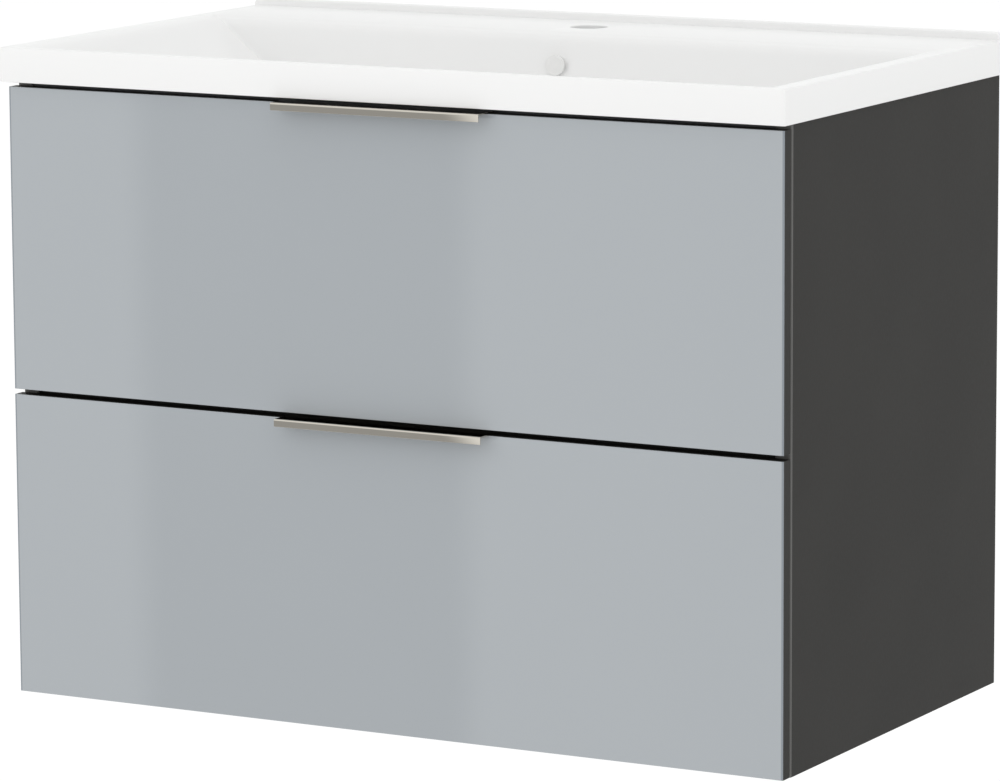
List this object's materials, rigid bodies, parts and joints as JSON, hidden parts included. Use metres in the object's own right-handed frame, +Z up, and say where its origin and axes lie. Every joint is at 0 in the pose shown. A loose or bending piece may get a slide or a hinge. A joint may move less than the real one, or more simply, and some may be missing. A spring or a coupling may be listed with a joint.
{
  "type": "wall-hung bathroom vanity cabinet",
  "caption": "Wall-hung vanity cabinet with a wide rectangular washbasin over full-extension drawers with gloss fronts and slim edge-pull handles.",
  "frame": {"origin": "on the wall plane, midway between the centres of the two wall-screw holes", "axes": "+X to the user's right, +Y into the wall, +Z up; the drawers open towards -Y"},
  "size_m": [0.8, 0.4673, 0.611],
  "materials": {
    "cast_mineral": "polished white gel coat",
    "white_plastic": "white, glossy",
    "anthracite_board": "melamine-faced board, anthracite, fine matt grain",
    "edge_band": "anthracite edge band, satin",
    "gloss_face": "light blue-grey, high gloss",
    "handle_steel": "brushed nickel colour",
    "zinc_steel": "zinc plated",
    "fixing_steel": "zinc plated, bright",
    "drawer_metal": "dark grey powder coat",
    "drawer_board": "melamine-faced board, grey, fine texture",
    "beech": "raw beech",
    "bumper": "soft translucent grey"
  },
  "bodies": {
    "cabinet": {"bottom_panel": "anthracite_board", "cabinet_runner_lower_left": "zinc_steel", "cabinet_runner_lower_right": "zinc_steel", "cabinet_runner_screws": "fixing_steel", "cabinet_runner_upper_left": "zinc_steel", "cabinet_runner_upper_right": "zinc_steel", "dowels": "beech", "edge_band_left": "edge_band", "edge_band_right": "edge_band", "front_stretcher": "drawer_metal", "hanger_plate_left": "fixing_steel", "hanger_plate_right": "fixing_steel", "hanging_rail": "anthracite_board", "middle_rail": "anthracite_board", "overflow_cover": "white_plastic", "rear_rail": "anthracite_board", "side_panel_left": "anthracite_board", "side_panel_right": "anthracite_board", "washbasin": "cast_mineral"},
    "lower_drawer": {"drawer_runner_lower_left": "zinc_steel", "drawer_runner_lower_right": "zinc_steel", "lower_bumpers": "bumper", "lower_drawer_back": "drawer_board", "lower_drawer_bottom": "drawer_board", "lower_drawer_side_left": "drawer_metal", "lower_drawer_side_right": "drawer_metal", "lower_front": "anthracite_board", "lower_front_brackets": "fixing_steel", "lower_front_face": "gloss_face", "lower_handle": "handle_steel", "lower_handle_screws": "fixing_steel", "lower_runner_screws": "fixing_steel"},
    "upper_drawer": {"drawer_runner_upper_left": "zinc_steel", "drawer_runner_upper_right": "zinc_steel", "upper_bumpers": "bumper", "upper_drawer_back_left": "drawer_board", "upper_drawer_back_right": "drawer_board", "upper_drawer_bottom": "drawer_board", "upper_drawer_side_left": "drawer_metal", "upper_drawer_side_right": "drawer_metal", "upper_front": "anthracite_board", "upper_front_brackets": "fixing_steel", "upper_front_face": "gloss_face", "upper_handle": "handle_steel", "upper_handle_screws": "fixing_steel", "upper_niche_front": "drawer_board", "upper_niche_left": "drawer_board", "upper_niche_right": "drawer_board", "upper_runner_screws": "fixing_steel"},
    "lower_inner_cages": {"inner_ball_cages_lower": "zinc_steel"},
    "upper_inner_cages": {"inner_ball_cages_upper": "zinc_steel"},
    "lower_slides": {"middle_runner_lower_left": "zinc_steel", "middle_runner_lower_right": "zinc_steel"},
    "upper_slides": {"middle_runner_upper_left": "zinc_steel", "middle_runner_upper_right": "zinc_steel"},
    "lower_outer_cages": {"outer_ball_cages_lower": "zinc_steel"},
    "upper_outer_cages": {"outer_ball_cages_upper": "zinc_steel"}
  },
  "joints": [
    {"name": "upper_drawer_slide", "type": "slide", "parent": "cabinet", "child": "upper_drawer", "axis": [0, -1, 0], "range_m": [0, 0.38]},
    {"name": "upper_slides_travel", "type": "slide", "parent": "cabinet", "child": "upper_slides", "axis": [0, -1, 0], "range_m": [0, 0.19]},
    {"name": "upper_outer_cages_travel", "type": "slide", "parent": "cabinet", "child": "upper_outer_cages", "axis": [0, -1, 0], "range_m": [0, 0.095]},
    {"name": "upper_inner_cages_travel", "type": "slide", "parent": "cabinet", "child": "upper_inner_cages", "axis": [0, -1, 0], "range_m": [0, 0.285]},
    {"name": "lower_drawer_slide", "type": "slide", "parent": "cabinet", "child": "lower_drawer", "axis": [0, -1, 0], "range_m": [0, 0.38]},
    {"name": "lower_slides_travel", "type": "slide", "parent": "cabinet", "child": "lower_slides", "axis": [0, -1, 0], "range_m": [0, 0.19]},
    {"name": "lower_outer_cages_travel", "type": "slide", "parent": "cabinet", "child": "lower_outer_cages", "axis": [0, -1, 0], "range_m": [0, 0.095]},
    {"name": "lower_inner_cages_travel", "type": "slide", "parent": "cabinet", "child": "lower_inner_cages", "axis": [0, -1, 0], "range_m": [0, 0.285]}
  ],
  "couplings": [
    {"joint": "upper_slides_travel", "follows": "upper_drawer_slide", "ratio": 0.5},
    {"joint": "upper_outer_cages_travel", "follows": "upper_drawer_slide", "ratio": 0.25},
    {"joint": "upper_inner_cages_travel", "follows": "upper_drawer_slide", "ratio": 0.75},
    {"joint": "lower_slides_travel", "follows": "lower_drawer_slide", "ratio": 0.5},
    {"joint": "lower_outer_cages_travel", "follows": "lower_drawer_slide", "ratio": 0.25},
    {"joint": "lower_inner_cages_travel", "follows": "lower_drawer_slide", "ratio": 0.75}
  ]
}
